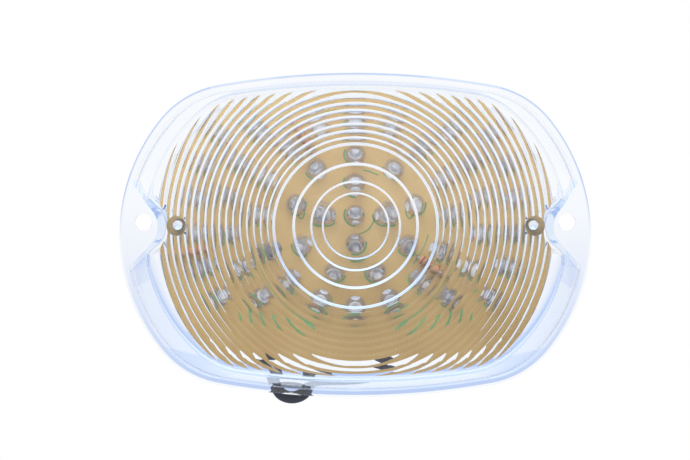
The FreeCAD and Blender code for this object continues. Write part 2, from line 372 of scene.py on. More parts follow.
@dataclass(frozen=True)
class BandedLacquer(Finish):
    """Salmon lacquer with colour bands, each at its share of the resistor's length."""

    name: str = "resistor_lacquer"
    body: Colour = (0.60, 0.27, 0.15)
    brighter: float = 1.12
    bands: tuple[tuple[float, Colour], ...] = (
        (0.15, (0.13, 0.05, 0.02)), (0.36, (0.02, 0.02, 0.02)),
        (0.5, (0.35, 0.03, 0.02)), (0.82, (0.5, 0.35, 0.08)),
    )
    band_half: Pair = (0.028, 0.036)
    drift: float = 900.0
    rough: float = 0.3
    rough_more: float = 0.15

    def build(self, n: Nodes) -> Shader:
        """Each band covers the lacquer where the distance along from its middle is small.

        Args:
            n: node maker.

        Returns:
            The shader.
        """
        along = n.make("ShaderNodeAttribute", {"attribute_name": "along"}, {}, "Fac")
        drift = n.noise(n.place(), self.drift)
        colour = n.mix(drift, self.body, tuple(c * self.brighter for c in self.body))
        for middle, tone in self.bands:
            cover = 1.0 - (along - middle).absolute().step(*self.band_half)
            colour = n.mix(cover, colour, tone)
        sockets = {"Base Color": colour, "Roughness": self.rough + drift * self.rough_more}
        return n.add("ShaderNodeBsdfPrincipled", {}, sockets)


@dataclass(frozen=True)
class FloorPaint(Finish):
    """Matt pale paint that shows grey to the camera and throws bluish light on the lens."""

    name: str = "floor"
    low: Colour = (0.9, 0.9, 0.9)
    high: Colour = (0.94, 0.94, 0.94)
    thrown: Colour = (0.66, 0.76, 0.93)
    grain: float = 40.0
    rough: float = 0.8

    def build(self, n: Nodes) -> Shader:
        """Slow noise mixes the two greys; rays that aren't the camera's see the thrown colour.

        Args:
            n: node maker.

        Returns:
            The shader.
        """
        grey = n.mix(n.noise(n.place(), self.grain), self.low, self.high)
        colour = n.mix(n.light_path("Is Camera Ray"), self.thrown, grey)
        return n.add("ShaderNodeBsdfPrincipled", {}, {"Base Color": colour, "Roughness": self.rough})


CLEAR_LENS = ClearPlastic()
CLEAR_EPOXY = ClearPlastic(
    "clear_epoxy", tint=(0.95, 0.94, 0.94), pale=(0.99, 0.98, 0.98),
    density=0.0, ior=1.53, rough=0.02, haze=0.12,
)
LEAD_FRAME = Speckled(
    "lead_frame", (0.14, 0.11, 0.10), (0.97, 0.95, 0.93), 900.0, (0.06, 0.22), metal=1.0, bump=0.25,
)
TAN_BOARD = BoardFinish()
GREEN_PRINT = Speckled("green_print", (0.12, 0.30, 0.09), (0.20, 0.40, 0.15), 1500.0, (0.35, 0.5))
SOLDER = Speckled("solder", (0.55, 0.55, 0.56), (0.72, 0.72, 0.72), 1200.0, (0.2, 0.4), metal=1.0)
TINNED_WIRE = Speckled("tinned", (0.55, 0.55, 0.55), (0.7, 0.7, 0.68), 2500.0, (0.25, 0.4), metal=1.0)
ZINC = Speckled("zinc", (0.42, 0.42, 0.4), (0.6, 0.6, 0.57), 2000.0, (0.3, 0.45), metal=1.0)
BRASS = Speckled("brass", (0.6, 0.42, 0.16), (0.75, 0.55, 0.25), 2000.0, (0.25, 0.4), metal=1.0)
BLACK_PLASTIC = Speckled("black_plastic", (0.02, 0.02, 0.022), (0.035, 0.035, 0.04), 900.0, (0.35, 0.5))
CABLE_SHEATH = Speckled("cable_sheath", (0.012, 0.012, 0.015), (0.03, 0.03, 0.036), 700.0, (0.3, 0.42))

# Finishes of the pieces that keep the shapes of their CAD nodes
NODE_FINISHES: dict[str, Finish] = {
    "circuit_board": TAN_BOARD,
    "cable_anchor": BLACK_PLASTIC, "cable_tie": BLACK_PLASTIC, "plug_housing": BLACK_PLASTIC,
    **{"resistor_" + place + "_leads": TINNED_WIRE for place in ("upper", "left", "lower")},
    "board_screws": ZINC, "plug_contacts": BRASS,
}


def link(obj: Piece) -> Piece:
    """Puts an object in the scene."""
    bpy.context.scene.collection.objects.link(obj)
    return obj


def mesh_object(name: str, points: np.ndarray, faces: Faces) -> Piece:
    """A mesh object at the origin from points in metres and faces.

    Args:
        name: the object's name.
        points: array (n, 3).
        faces: vertex indices of each face.

    Returns:
        The object, linked to the scene.
    """
    mesh = bpy.data.meshes.new(name)
    mesh.from_pydata(np.asarray(points).tolist(), [], faces)
    mesh.update()
    return link(bpy.data.objects.new(name, mesh))


def loft_faces(rings: int, count: int) -> Faces:
    """Quads between successive rings of points, with both ends capped.

    Args:
        rings: number of rings.
        count: points in a ring, anticlockwise seen from the last ring's side.

    Returns:
        Faces that point outwards.
    """
    i, j = np.meshgrid(np.arange(rings - 1), np.arange(count), indexing="ij")
    k = (j + 1) % count
    quads = np.stack([i * count + j, i * count + k, (i + 1) * count + k, (i + 1) * count + j], -1)
    first = np.arange(count)
    return quads.reshape(-1, 4).tolist() + [first[::-1].tolist(), (first + (rings - 1) * count).tolist()]


def joined(forms: Sequence[Form]) -> Form:
    """Several forms as one, the faces of each moved on to its own points.

    Args:
        forms: points and faces of each form.

    Returns:
        All the points and faces.
    """
    starts = np.cumsum([0] + [len(points) for points, _ in forms])
    faces = [(np.array(f) + start).tolist() for start, (_, part) in zip(starts, forms) for f in part]
    return np.concatenate([points for points, _ in forms]), faces


def loft(name: str, rings: Sequence[np.ndarray]) -> Piece:
    """Closed mesh through rings of points in mm, from back to front."""
    return mesh_object(name, upright(np.concatenate(rings)), loft_faces(len(rings), len(rings[0])))


def at_height(plan: np.ndarray, z: float) -> np.ndarray:
    """Points of a plan, array (n, 2), at one height."""
    return np.column_stack([plan, np.full(len(plan), z)])


def circle(radius: float, z: float, count: int, middle: Point = (0.0, 0.0, 0.0)) -> np.ndarray:
    """Ring of points about the Z direction."""
    return at_height(arc((0.0, 0.0), radius, 0.0, 2 * math.pi, count), z) + np.array(middle)


def arc(middle: Pair, radius: float, start: float, end: float, count: int) -> np.ndarray:
    """Points of an arc from start up to, but not with, end, angles in radians."""
    a = np.linspace(start, end, count, endpoint=False)
    return np.stack([middle[0] + radius * np.cos(a), middle[1] + radius * np.sin(a)], -1)


def bow(middle: Pair, radii: Pair, start: float, end: float, count: int = 40) -> np.ndarray:
    """Points of part of an ellipse with both its ends, angles in degrees."""
    a = np.radians(np.linspace(start, end, count))
    return np.column_stack([middle[0] + radii[0] * np.cos(a), middle[1] + radii[1] * np.sin(a)])


def lathe(profile: Iterable[Pair], count: int) -> Form:
    """Closed form of revolution about Z: flat ends, from the lowest ring to the highest."""
    rings = [circle(r, z, count) for r, z in profile]
    return np.concatenate(rings), loft_faces(len(rings), count)


def combine(base: Piece, tool: Piece, op: Op) -> Piece:
    """Combines two closed meshes exactly.

    Args:
        base: mesh that takes the result.
        tool: mesh that is used up and removed.
        op: how they are combined.

    Returns:
        The base.
    """
    step = base.modifiers.new("combine", "BOOLEAN")
    step.operation = op.value
    step.solver = "MANIFOLD"
    step.object = tool
    bpy.context.view_layer.update()
    graph = bpy.context.evaluated_depsgraph_get()
    made = bpy.data.meshes.new_from_object(base.evaluated_get(graph))
    base.modifiers.clear()
    old, spent = base.data, tool.data
    base.data = made
    bpy.data.objects.remove(tool)
    bpy.data.meshes.remove(old)
    bpy.data.meshes.remove(spent)
    return base


def smooth(obj: Piece, angle: float) -> Piece:
    """Shades a mesh smooth, with sharp edges past an angle and round level faces.

    Args:
        obj: the mesh object.
        angle: edges that turn more than this, in degrees, stay sharp.

    Returns:
        The same object.
    """
    mesh = obj.data
    mesh.shade_smooth()
    mesh.set_sharp_from_angle(angle=math.radians(angle))
    normals = np.empty(len(mesh.polygons) * 3)
    mesh.polygons.foreach_get("normal", normals)
    sizes = np.empty(len(mesh.polygons), dtype=int)
    mesh.polygons.foreach_get("loop_total", sizes)
    edges = np.empty(len(mesh.loops), dtype=int)
    mesh.loops.foreach_get("edge_index", edges)
    sharp = np.empty(len(mesh.edges), dtype=bool)
    mesh.edges.foreach_get("use_edge_sharp", sharp)
    level = np.abs(normals.reshape(-1, 3)[:, 1]) > LEVEL
    sharp[edges[np.repeat(level, sizes)]] = True
    mesh.edges.foreach_set("use_edge_sharp", sharp)
    return obj


def dress(obj: Piece, finish: Finish) -> Piece:
    """Gives an object one material.

    Args:
        obj: mesh or curve object.
        finish: its finish.

    Returns:
        The same object.
    """
    obj.data.materials.clear()
    obj.data.materials.append(finish.material())
    return obj


def strip(path: np.ndarray, width: float, low: float, high: float) -> Form:
    """Thin flat band: a rectangle carried along a line of points in the plane of the board.

    Args:
        path: array (n, 2).
        width: width of the band, half of it to each side of the line.
        low: height of its underside.
        high: height of its face.

    Returns:
        Points and faces.
    """
    way = np.gradient(path, axis=0)
    way = way / np.linalg.norm(way, axis=1, keepdims=True)
    left = np.column_stack([-way[:, 1], way[:, 0]]) * width / 2
    corners = ((left, low), (left, high), (-left, high), (-left, low))
    sections = np.stack([at_height(path + side, z) for side, z in corners], axis=1)
    return sections.reshape(-1, 3), loft_faces(len(path), len(corners))


def repeat(name: str, form: Form, spots: np.ndarray, turns: np.ndarray) -> Piece:
    """One mesh of copies of a small form, each turned about Z and then moved to its spot.

    Args:
        name: the object's name.
        form: points in mm and faces.
        spots: array (n, 3) in mm.
        turns: angle of each copy in radians.

    Returns:
        The object.
    """
    points, faces = form
    c, s = np.cos(turns)[:, None], np.sin(turns)[:, None]
    x, y, z = points.T
    copies = np.stack([c * x - s * y, s * x + c * y, np.broadcast_to(z, (len(turns), len(z)))], -1)
    points, faces = joined([(copy, faces) for copy in copies + spots[:, None, :]])
    return mesh_object(name, upright(points), faces)


@dataclass(frozen=True)
class Oval:
    """Rounded oval of eight tangent arcs, in mm."""

    half_w: float
    half_h: float
    top_r: float
    side_r: float
    corner_r: float
    drop: float

    def moved(self, other: "Oval", share: float, inset: float) -> "Oval":
        """Oval part of the way to another, drawn in by an inset.

        Args:
            other: the oval at a share of 1.
            share: how far it goes from this oval to the other.
            inset: how much each half size and radius shrinks.

        Returns:
            The new oval.
        """
        here, there = np.array(astuple(self)), np.array(astuple(other))
        sizes = here + (there - here) * share
        sizes[:-1] -= inset
        return Oval(*sizes.tolist())

    def ring(self, z: float, per_arc: int = 24) -> np.ndarray:
        """Points round the oval, anticlockwise seen from the front.

        The corner arc's centre is where a circle about the side arc's centre meets one about
        the top arc's centre, with radii less the corner's own.

        Args:
            z: height of the ring.
            per_arc: points on each arc.

        Returns:
            Array (n, 3).
        """
        sx = self.half_w - self.side_r
        ty = self.half_h - self.top_r
        ds = self.side_r - self.corner_r
        dt = self.top_r - self.corner_r
        gap = math.hypot(sx, ty)
        along = (ds ** 2 - dt ** 2 + gap ** 2) / (2 * gap)
        off = math.sqrt(ds ** 2 - along ** 2)
        ux, uy = -sx / gap, ty / gap
        cx, cy = max((sx + ux * along - s * uy * off, uy * along + s * ux * off) for s in (1, -1))
        a_side = math.atan2(cy, cx - sx)
        a_top = math.atan2(cy - ty, cx)
        quarter = np.concatenate([
            arc((sx, 0.0), self.side_r, 0.0, a_side, per_arc),
            arc((cx, cy), self.corner_r, a_side, a_top, per_arc),
            arc((0.0, ty), self.top_r, a_top, math.pi / 2, per_arc),
        ])
        back = np.concatenate([quarter[1:], [[0, self.half_h]]])[::-1] * (-1, 1)
        upper = np.concatenate([quarter, back])
        return at_height(np.concatenate([upper, -upper]) - (0.0, self.drop), z)


@dataclass
class Lens:
    """The clear lens, in mm: its CAD solid's form with finer faces, tapered pockets and leaning risers."""

    flange: Oval = Oval(74.0, 51.0, 243.0, 58.0, 30.0, 4.1)
    foot: Oval = Oval(72.0, 49.0, 241.0, 56.0, 28.0, 4.1)
    front: Oval = Oval(62.8, 44.6, 236.0, 48.0, 22.0, 1.9)
    flange_t: float = 3.0
    flange_round: float = 0.8
    flange_edge: float = 0.4
    flange_bevel: float = 0.12
    depth: float = 33.0
    edge_r: float = 4.5
    wall_t: float = 2.3
    wall_start: float = 2.0
    plate_t: float = 3.0
    plate_in: float = 0.8

    # Rings of the inner face: the bullseye's zones, then the even field
    zone_radii: tuple[float, ...] = (9.6, 13.0, 18.2, 24.2)
    zone_slopes: tuple[float, ...] = (6.0, 18.0, 14.0, 16.0)
    field_step: float = 0.9
    pitch: float = 2.07
    rings: int = 17
    slope: float = 29.0
    draft: float = 31.0
    bulge: float = 0.085
    lean_up: float = 0.2
    lean_down: float = 1.1
    widen: float = 0.45
    widen_power: float = 1.5
    widen_top: float = 0.5
    fillet: float = 2.4
    dome_points: int = 13
    facet_points: int = 6
    turns: int = 360

    # Screw holes and pockets, drain, board posts
    hole_x: float = 66.5
    hole_r: float = 2.7
    nose_r: float = 5.5
    nose_points: int = 40
    flare: float = 50.0
    taper: float = 0.055
    drain_w: float = 4.0
    drain_h: float = 1.8
    drain_t: float = 1.6
    post_x: float = 54.0
    post_r: float = 3.0
    post_gap: float = 0.06
    post_in: float = 1.0
    pilot_r: float = 1.45
    pilot_top: float = 22.0
    pilot_tip_r: float = 0.12
    pilot_tip: float = 1.4
    board_front: float = 10.0

    # How far the cutters reach past the faces that they open
    pocket_out: float = 95.0
    pocket_z: Pair = (2.5, 40.0)
    room_pocket_z: Pair = (-5.0, 45.0)
    room_out: float = 85.0
    room_low: float = -2.0
    hollow_low: float = -1.0
    hole_z: Pair = (-1.0, 6.0)
    pilot_low: float = 9.0
    drain_out: float = 0.6
    drain_low: float = -0.5
    smooth_angle: float = 22.0

    def wall(self, inset: float, z: float) -> np.ndarray:
        """Ring of the drafted wall at a height, drawn in by an inset."""
        share = (z - self.flange_t) / (self.depth - self.flange_t)
        return self.foot.moved(self.front, share, inset).ring(z)

    def body(self) -> Piece:
        """Outer form of the drafted wall, whose front edge is a quarter round.

        Returns:
            The closed form.
        """
        low = self.depth - self.edge_r
        rings = [self.wall(0, self.wall_start), self.wall(0, low)]
        for t in np.radians(np.arange(9, 91, 9)):
            inset = self.edge_r * (1 - math.cos(t))
            rings.append(self.wall(inset, self.depth - self.edge_r * (1 - math.sin(t))))
        return loft("lens", rings)

    def pocket(self, side: int, steps: Iterable[Pair]) -> Piece:
        """Screw pocket with a round nose and flared sides, wider towards the front.

        Args:
            side: 1 for the right pocket, -1 for the left one.
            steps: height and growth of each section, besides the taper for the mould.

        Returns:
            The closed form that is cut away.
        """
        flare = math.radians(self.flare)
        far = self.pocket_out
        a = np.linspace(math.pi / 2 + flare, 1.5 * math.pi - flare, self.nose_points)
        rings = []
        for z, grow in steps:
            r = self.nose_r + grow + self.taper * max(0.0, z - self.flange_t)
            x = np.concatenate([self.hole_x + r * np.cos(a), [far, far]])
            edge = r * math.cos(flare) + (far - self.hole_x + r * math.sin(flare)) * math.tan(flare)
            y = np.concatenate([r * np.sin(a), [-edge, edge]])
            rings.append(at_height(np.column_stack([side * x, y])[::side], z))
        return loft("pocket", rings)

    def hollow_steps(self) -> list[Pair]:
        """Inner wall, which rounds into the ringed face by a quarter circle.

        Returns:
            Height and inset of each section.
        """
        top = self.depth - self.plate_t - self.field_step
        f = self.fillet
        turn = np.radians(np.arange(0, 91, 15))
        rounded = [(top - f * (1 - math.sin(t)), self.wall_t + f * (1 - math.cos(t))) for t in turn]
        straight = [(self.hollow_low, self.wall_t), (self.flange_t, self.wall_t)]
        return straight + rounded + [(self.depth - self.plate_in, self.wall_t + f)]

    def profile(self) -> np.ndarray:
        """Saw-tooth of the inner face, from the axis outwards.

        The middle is a parabola. Each facet of the field bulges a little towards the board, as a
        share of its chord that is greatest in the middle.

        Returns:
            Array (n, 3) of radius, height and depth behind the riser's crest, which counts as
            nothing in the bullseye and at the step round it.
        """
        top = self.depth - self.plate_t
        lean = math.tan(math.radians(self.draft))
        first, last = self.zone_radii[0], self.zone_radii[-1]
        dome = first * math.tan(math.radians(self.zone_slopes[0])) / 2
        s = np.linspace(0, 1, self.dome_points)
        parts = [np.column_stack([first * s, top - dome * (1 - s * s), np.zeros(len(s))])]
        teeth = [(*t, top, 0.0) for t in zip(self.zone_radii, self.zone_radii[1:], self.zone_slopes[1:])]
        for inner in last + np.arange(self.rings) * self.pitch:
            teeth.append((inner, inner + self.pitch, self.slope, top - self.field_step, self.bulge))
        s = np.linspace(0, 1, self.facet_points)
        for inner, outer, slope, crest, bulge in teeth:
            rise = math.tan(math.radians(slope))
            above = parts[-1][-1, 1] - crest
            drop = (outer - inner - lean * above) * rise / (1 + lean * rise)
            start = inner + (drop + above) * lean
            sag = 4 * s * (1 - s) * bulge * (outer - start)
            low = drop * (1 - s)
            behind = low if inner > last else np.zeros(len(s))
            parts.append(np.column_stack([start + (outer - start) * s, crest - low - sag, behind]))
        return np.concatenate(parts)

    def room(self) -> Piece:
        """The hollow under the saw-tooth, kept inside the wall.

        The foot of each riser is moved out or in by a share of its depth. The share goes with the
        sine of its place round the ring, so that the risers lean more above the middle than below
        it, and grows with a power of the radius, least at the top. No riser leans past upright.

        Returns:
            The closed form that is cut away.
        """
        line = self.profile()
        tip, line = line[0], line[:0:-1]
        skirt = [(self.room_out, self.room_low, 0.0), (self.room_out, line[0][1], 0.0)]
        r, z, behind = np.concatenate([skirt, line]).T[:, :, None]
        count = self.turns
        a = np.linspace(0, 2 * math.pi, count, endpoint=False)
        height = np.sin(a)
        lean = height * np.where(height > 0, self.lean_up, self.lean_down)
        share = 1 - self.widen_top * np.clip(height, 0, 1) ** 2
        upright_lean = -math.tan(math.radians(self.draft))
        outwards = (r - self.zone_radii[-1]) / (self.rings * self.pitch)
        out = self.widen * np.maximum(0.0, outwards) ** self.widen_power
        radius = r + behind * np.maximum(lean + share * out, upright_lean)
        rings = np.stack([radius * np.cos(a), radius * np.sin(a), np.broadcast_to(z, radius.shape)], -1)
        points = np.concatenate([rings.reshape(-1, 3), [[0, 0, tip[1]]]])
        j = np.arange(count)
        base = (len(r) - 1) * count
        fan = np.column_stack([base + j, base + (j + 1) % count, np.full(count, len(points) - 1)])
        hollow = mesh_object("room", upright(points), loft_faces(len(r), count)[:-1] + fan.tolist())
        inside = loft("inside", [self.wall(inset, z) for z, inset in self.hollow_steps()])
        return combine(hollow, inside, Op.KEEP)

    def drain(self) -> Piece:
        """Block of the drain notch in the back of the flange's lower edge.

        Returns:
            The closed form that is cut away.
        """
        edge = -self.flange.half_h - self.flange.drop
        low, high = edge - self.drain_out, edge + self.drain_h
        half = self.drain_w / 2
        plan = np.array([(-half, low), (half, low), (half, high), (-half, high)])
        return loft("drain", [at_height(plan, z) for z in (self.drain_low, self.drain_t)])

    def plate(self) -> Piece:
        """The flange, with a small bevel behind and a quarter round in front.

        Returns:
            The closed form.
        """
        edge, bevel, r, top = self.flange_edge, self.flange_bevel, self.flange_round, self.flange_t
        steps = [(0.0, edge), (bevel, bevel), (edge, 0.0), (top - r, 0.0)]
        turn = np.radians([22, 45, 67, 90])
        steps += [(top - r * (1 - math.sin(t)), r * (1 - math.cos(t))) for t in turn]
        return loft("flange", [self.flange.moved(self.flange, 0, inset).ring(z) for z, inset in steps])

    def rod(self, name: str, x: float, line: Iterable[Pair], count: int) -> Piece:
        """Round form about an axis at x on the level of the screw holes."""
        return loft(name, [circle(r, z, count, (x, 0.0, 0.0)) for r, z in line])

    def build(self) -> Piece:
        """Cuts and joins the lens in the order of its CAD solid.

        Returns:
            The lens, smooth and dressed.
        """
        lens = self.body()
        room = self.room()
        low, high = self.pocket_z
        room_low, room_high = self.room_pocket_z
        for side in (-1, 1):
            steps = [(low, 0.0), (self.flange_t, 0.0), (high, 0.0)]
            lens = combine(lens, self.pocket(side, steps), Op.CUT)
            steps = [(room_low, self.wall_t), *self.hollow_steps()[1:]]
            steps.append((room_high, self.wall_t + self.fillet))
            room = combine(room, self.pocket(side, steps), Op.CUT)
        lens = combine(lens, self.plate(), Op.JOIN)
        lens = combine(lens, room, Op.CUT)
        post_z = (self.board_front + self.post_gap, self.depth - self.plate_t + self.post_in)
        tip = self.pilot_top - self.pilot_tip
        pilot = [(self.pilot_r, self.pilot_low), (self.pilot_r, tip), (self.pilot_tip_r, self.pilot_top)]
        for side in (-1, 1):
            hole = self.rod("hole", side * self.hole_x, [(self.hole_r, z) for z in self.hole_z], 64)
            lens = combine(lens, hole, Op.CUT)
            post = self.rod("post", side * self.post_x, [(self.post_r, z) for z in post_z], 64)
            lens = combine(lens, post, Op.JOIN)
            lens = combine(lens, self.rod("pilot", side * self.post_x, pilot, 48), Op.CUT)
        lens = combine(lens, self.drain(), Op.CUT)
        return dress(smooth(lens, self.smooth_angle), CLEAR_LENS)


def around(count: int) -> tuple[float, ...]:
    """Even angles of a whole ring in degrees, the first at the top."""
    return tuple(90 + 360 / count * i for i in range(count))


def fanned(middle: float, step: float, count: int = 6) -> tuple[float, ...]:
    """Even angles to both sides of a middle one, in degrees."""
    return tuple(middle + step * (i - (count - 1) / 2) for i in range(count))


@dataclass(frozen=True)
class Layout:
    """Where the LEDs stand on the board, in mm: each ring's name, radius and angles."""

    rise: float = 2.3
    front: float = 10.0
    rings: tuple[tuple[str, float, tuple[float, ...]], ...] = (
        ("led_centre", 0.0, around(1)),
        ("leds_ring_b", 8.0, around(4)),
        ("leds_ring_c", 16.3, around(9)),
        ("leds_ring_d", 25.0, around(16)),
        ("leds_ring_e_left", 34.75, fanned(180, 16.4)),
        ("leds_ring_e_right", 34.75, fanned(0, 16.4)),
        ("leds_ring_f_left", 44.5, fanned(180, 12.4)),
        ("leds_ring_f_right", 44.5, fanned(0, 12.4)),
    )

    def spots(self, radius: float, angles: Iterable[float]) -> np.ndarray:
        """Feet of the LEDs of one ring."""
        a = np.radians(list(angles))
        return np.stack([radius * np.cos(a), self.rise + radius * np.sin(a), np.full(len(a), self.front)], -1)


@dataclass
class Leds:
    """Water-clear 5 mm LEDs: epoxy body, and the cup and post of the lead frame inside it."""

    layout: Layout = field(default_factory=Layout)
    r: float = 2.5
    collar_r: float = 2.85
    collar_h: float = 1.0
    collar_edge: float = 0.05
    straight: float = 6.1
    tip_r: float = 0.12
    body_angle: float = 30.0
    frame_angle: float = 40.0
    cup_x: float = 0.5
    cup: tuple[Pair, ...] = ((0.3, 0.2), (0.3, 3.4), (0.85, 4.2), (0.95, 4.9), (0.8, 4.9), (0.4, 4.45))
    post_x: float = -1.1
    post_wide: float = 1.7
    post: tuple[Pair, ...] = ((0.25, 0.2), (0.25, 4.6), (0.42, 4.8), (0.42, 5.2))

    def body(self) -> Form:
        """Collar, straight side and round dome, turned about the LED's axis.

        Returns:
            Points and faces.
        """
        turn = np.radians(np.arange(0, 90, 9))
        dome = [(self.r * math.cos(t), self.straight + self.r * math.sin(t)) for t in turn]
        edge = self.collar_h + self.collar_edge
        collar = [(self.collar_r, 0.0), (self.collar_r, self.collar_h), (self.r, edge)]
        return lathe(collar + dome + [(self.tip_r, self.straight + self.r)], 40)

    def frame(self) -> Form:
        """Cup to one side of the axis, and a post widened across to the other.

        Returns:
            Points and faces.
        """
        cup, cup_faces = lathe(self.cup, 16)
        post, post_faces = lathe(self.post, 8)
        cup = cup + (self.cup_x, 0, 0)
        post = post * (1.0, self.post_wide, 1.0) + (self.post_x, 0, 0)
        return joined([(cup, cup_faces), (post, post_faces)])

    def build(self) -> list[Piece]:
        """Every ring of LEDs, standing for its CAD node.

        Returns:
            The bodies and the lead frames.
        """
        made = []
        for name, radius, angles in self.layout.rings:
            spots = self.layout.spots(radius, angles)
            turns = np.radians(np.array(angles, dtype=float))
            body = smooth(repeat(name + "_epoxy", self.body(), spots, turns), self.body_angle)
            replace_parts(dress(body, CLEAR_EPOXY), name)
            core = smooth(repeat(name + "_frame", self.frame(), spots, turns), self.frame_angle)
            dress(core, LEAD_FRAME)
            made += [body, core]
        return made


@dataclass
class BoardWork:
    """Green print and solder joints of the board, and the bodies of its resistors, in mm."""

    layout: Layout = field(default_factory=Layout)
    front: float = 10.0
    back: float = 8.4
    angle: float = 30.0

    # Print: arcs round the LEDs, arcs about the middle one, loops and straight traces of both sides
    film: float = 0.03
    sunk: float = 0.01
    mark_r: float = 3.1
    mark_w: float = 0.45
    mark_start: float = 150.0
    mark_turn: float = 25.0
    mark_sweep: float = 120.0
    arc_w: float = 0.35
    arcs: tuple[tuple[float, float, float], ...] = (
        (5.4, 280, 350), (12.0, 60, 80), (20.6, 320, 345),
        (30.0, 100, 150), (30.0, 205, 250), (30.0, 292, 335),
    )
    loop_w: float = 0.4
    loop_x: float = 14.4
    loop_rise: float = 1.2
    loop_radii: Pair = (1.1, 2.3)
    loop_end: float = 345.0
    traces: tuple[tuple[Pair, Pair, float], ...] = (
        ((33.0, -25.5), (11.0, -29.5), 0.8), ((39.0, 24.0), (16.0, 31.5), 0.5),
    )
    trace_points: int = 12

    # Solder joints: radius and height of each ring of one joint
    pin_half: float = 1.27
    joint: tuple[Pair, ...] = ((0.28, -0.85), (0.62, -0.55), (0.95, -0.1), (1.0, 0.02))

    # Resistors: name, radius and angle of each place, and one end as shares of radius and half length
    resistor_r: float = 1.15
    resistor_len: float = 6.3
    resistor_lift: float = 0.3
    resistor_end: tuple[Pair, ...] = ((0.4, 1.0), (0.85, 0.95), (1.0, 0.82), (1.0, 0.6), (0.85, 0.46))
    resistor_angle: float = 40.0
    resistors: tuple[tuple[str, float, float], ...] = (
        ("upper", 24.6, 123.75), ("left", 46.0, 192.4), ("lower", 24.6, 326.25),
    )

    def prints(self) -> Piece:
        """Arcs round the LEDs' feet, arcs between them, loops and straight traces.

        Returns:
            One mesh of thin strips.
        """
        paths = []
        for _, radius, angles in self.layout.rings:
            for i, (x, y, _) in enumerate(self.layout.spots(radius, angles)):
                # Steps of 7 among 5 places turn neighbouring arcs different ways
                start = self.mark_start + self.mark_turn * ((i * 7) % 5)
                mark = bow((x, y), (self.mark_r, self.mark_r), start, start + self.mark_sweep)
                paths.append((mark, self.mark_w))
        rise = self.layout.rise
        paths += [(bow((0.0, rise), (r, r), start, end), self.arc_w) for r, start, end in self.arcs]
        for side in (-1, 1):
            middle = (side * self.loop_x, rise + self.loop_rise)
            paths.append((bow(middle, self.loop_radii, 0, self.loop_end), self.loop_w))
            for outer, inner, width in self.traces:
                line = np.linspace(outer, inner, self.trace_points) * (side, 1)
                paths.append((line[::side], width))
        low, high = self.front - self.sunk, self.front + self.film
        points, faces = joined([strip(path, width, low, high) for path, width in paths])
        return dress(smooth(mesh_object("board_print", upright(points), faces), self.angle), GREEN_PRINT)

    def joints(self) -> Piece:
        """Two low solder joints behind each LED.

        Returns:
            One mesh of all the joints.
        """
        points, faces = lathe(self.joint, 14)
        forms = []
        for _, radius, angles in self.layout.rings:
            for (x, y, _), angle in zip(self.layout.spots(radius, angles), angles):
                a = math.radians(angle)
                for way in (-1, 1):
                    dx, dy = math.cos(a) * self.pin_half * way, math.sin(a) * self.pin_half * way
                    forms.append((points + (x + dx, y + dy, self.back), faces))
        points, faces = joined(forms)
        return dress(smooth(mesh_object("solder_joints", upright(points), faces), self.angle), SOLDER)

    def resistor(self, name: str, radius: float, angle: float) -> Piece:
        """Body with swollen ends, turned about a line straight out from the LEDs' centre.

        Args:
            name: which resistor it is.
            radius: how far out its middle lies.
            angle: which way it lies, in degrees.

        Returns:
            The body.
        """
        r, half = self.resistor_r, self.resistor_len / 2
        end = [(size * r, -share * half) for size, share in self.resistor_end]
        points, faces = lathe(end + [(size, -z) for size, z in end[::-1]], 28)
        a = math.radians(angle)
        out = np.array((math.cos(a), math.sin(a), 0.0))
        side = np.array((-math.sin(a), math.cos(a), 0.0))
        middle = np.array((0.0, self.layout.rise, self.front + self.resistor_lift + r)) + out * radius
        placed = middle + points[:, :1] * side + points[:, 1:2] * (0, 0, 1) + points[:, 2:] * out
        body = smooth(mesh_object("resistor_" + name + "_body", upright(placed), faces), self.resistor_angle)
        along = body.data.attributes.new("along", "FLOAT", "POINT")
        along.data.foreach_set("value", points[:, 2] / self.resistor_len + 0.5)
        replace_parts(dress(body, BandedLacquer()), "resistor_" + name)
        return body

    def build(self) -> list[Piece]:
        """Everything on the board that isn't an LED.

        Returns:
            The print, the joints and the resistors.
        """
        green = self.prints()
        solder = self.joints()
        return [green, solder] + [self.resistor(*place) for place in self.resistors]


